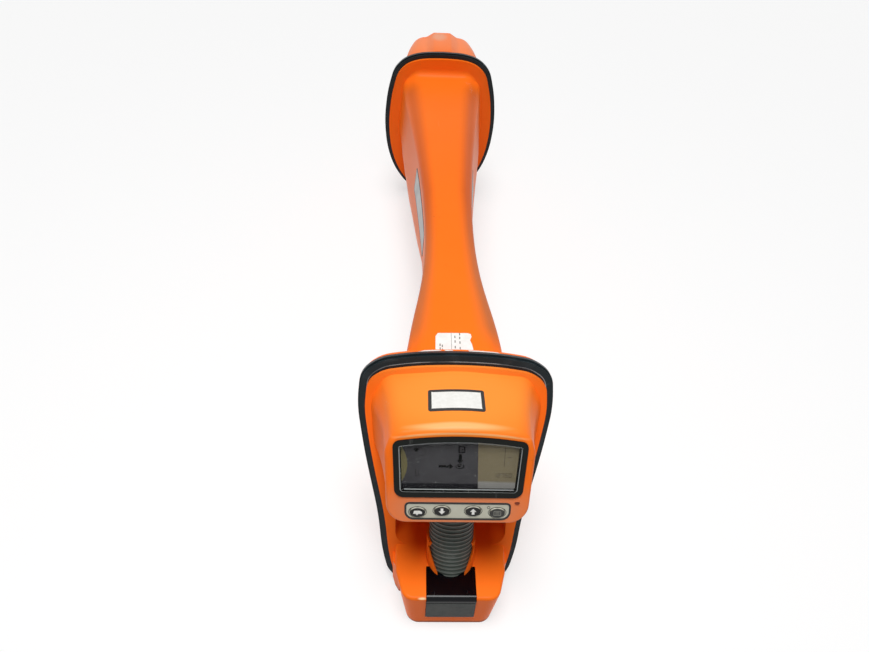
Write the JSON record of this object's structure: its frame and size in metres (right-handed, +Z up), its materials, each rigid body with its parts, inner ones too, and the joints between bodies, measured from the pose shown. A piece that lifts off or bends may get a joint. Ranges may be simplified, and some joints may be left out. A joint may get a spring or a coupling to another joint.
{
  "type": "walkover locator",
  "caption": "Hand-carried walkover locator: flared hollow body between rubber-edged end heads, hooded display with keys above a ribbed pistol grip, and a slide-out battery.",
  "frame": {"origin": "centre of the bounding box on the floor plane under the locator at rest", "axes": "+X to the user's right, +Y forward along the body from grip end to front cap, +Z up"},
  "size_m": [0.1558, 0.7411, 0.2136],
  "materials": {
    "body_orange": "moulded satin, scuffed by use",
    "housing_orange": "moulded satin, fine grain",
    "cap_orange": "moulded satin, scratched",
    "bumper_black": "dull extruded rubber",
    "bezel_black": "gloss black",
    "window_clear": "clear hard-coated window",
    "lcd_grey": "liquid crystal glass",
    "light_guide": "milky light guide",
    "board_green": "solder mask",
    "foam_black": "closed cell foam",
    "keypad_grey": "fine matt overlay",
    "key_black": "satin black",
    "part_grey": "moulded component",
    "lamp_red": "dark red lens",
    "inner_grey": "plain moulding",
    "grip_rubber": "ribbed rubber",
    "trigger_black": "satin black",
    "battery_black": "gloss black",
    "cell_wrap": "shrink wrapped cell",
    "contact_metal": "plated spring contact",
    "ferrite": "ground ferrite",
    "winding_copper": "enamelled copper winding",
    "cable_black": "jacketed lead",
    "screw_steel": "plated steel"
  },
  "bodies": {
    "casing": {"main_body": "body_orange", "rear_housing": "housing_orange", "front_cap": "cap_orange", "rear_bumper": "bumper_black", "front_bumper": "bumper_black", "display_bezel": "bezel_black", "display_window": "window_clear", "lcd_panel": "lcd_grey", "lcd_backlight": "light_guide", "display_board": "board_green", "lcd_spacers": "foam_black", "keypad_panel": "keypad_grey", "key_switches": "part_grey", "status_lamp": "lamp_red", "sounder": "bezel_black", "grip_core": "inner_grey", "grip_sleeve": "grip_rubber", "trigger_pin": "screw_steel", "trigger_switch": "part_grey", "battery_bay": "inner_grey", "bay_contacts": "contact_metal", "main_board": "board_green", "telemetry_antenna": "key_black", "rear_bulkhead": "inner_grey", "front_bulkhead": "inner_grey", "rear_antenna_frame": "inner_grey", "rear_antenna_rods": "ferrite", "rear_antenna_windings": "winding_copper", "front_antenna_frame": "inner_grey", "front_antenna_rods": "ferrite", "front_antenna_windings": "winding_copper", "wiring_harness": "cable_black", "rear_housing_screws": "screw_steel", "front_cap_screws": "screw_steel", "display_board_screws": "screw_steel", "main_board_screws": "screw_steel", "rear_antenna_screws": "screw_steel", "front_antenna_screws": "screw_steel"},
    "menu_key": {"menu_key": "key_black"},
    "down_key": {"down_key": "key_black"},
    "up_key": {"up_key": "key_black"},
    "power_key": {"power_key": "key_black"},
    "trigger_lever": {"trigger": "trigger_black"},
    "battery": {"battery_pack": "battery_black", "battery_cells": "cell_wrap", "battery_contacts": "contact_metal"}
  },
  "joints": [
    {"name": "menu_key_press", "type": "slide", "parent": "casing", "child": "menu_key", "axis": [0, 0.9063, -0.4226], "range_m": [0, 0.0007], "stiffness_N_per_m": 900},
    {"name": "down_key_press", "type": "slide", "parent": "casing", "child": "down_key", "axis": [0, 0.9063, -0.4226], "range_m": [0, 0.0007], "stiffness_N_per_m": 900},
    {"name": "up_key_press", "type": "slide", "parent": "casing", "child": "up_key", "axis": [0, 0.9063, -0.4226], "range_m": [0, 0.0007], "stiffness_N_per_m": 900},
    {"name": "power_key_press", "type": "slide", "parent": "casing", "child": "power_key", "axis": [0, 0.9063, -0.4226], "range_m": [0, 0.0007], "stiffness_N_per_m": 900},
    {"name": "trigger_pull", "type": "hinge", "parent": "casing", "child": "trigger_lever", "pos_m": [0, -0.2885, 0.1177], "axis": [-1, 0, 0], "range_deg": [0, 10], "stiffness_Nm_per_rad": 0.45, "springref_deg": -2.86},
    {"name": "battery_slide", "type": "slide", "parent": "casing", "child": "battery", "axis": [0, -1, 0], "range_m": [0, 0.085]}
  ]
}
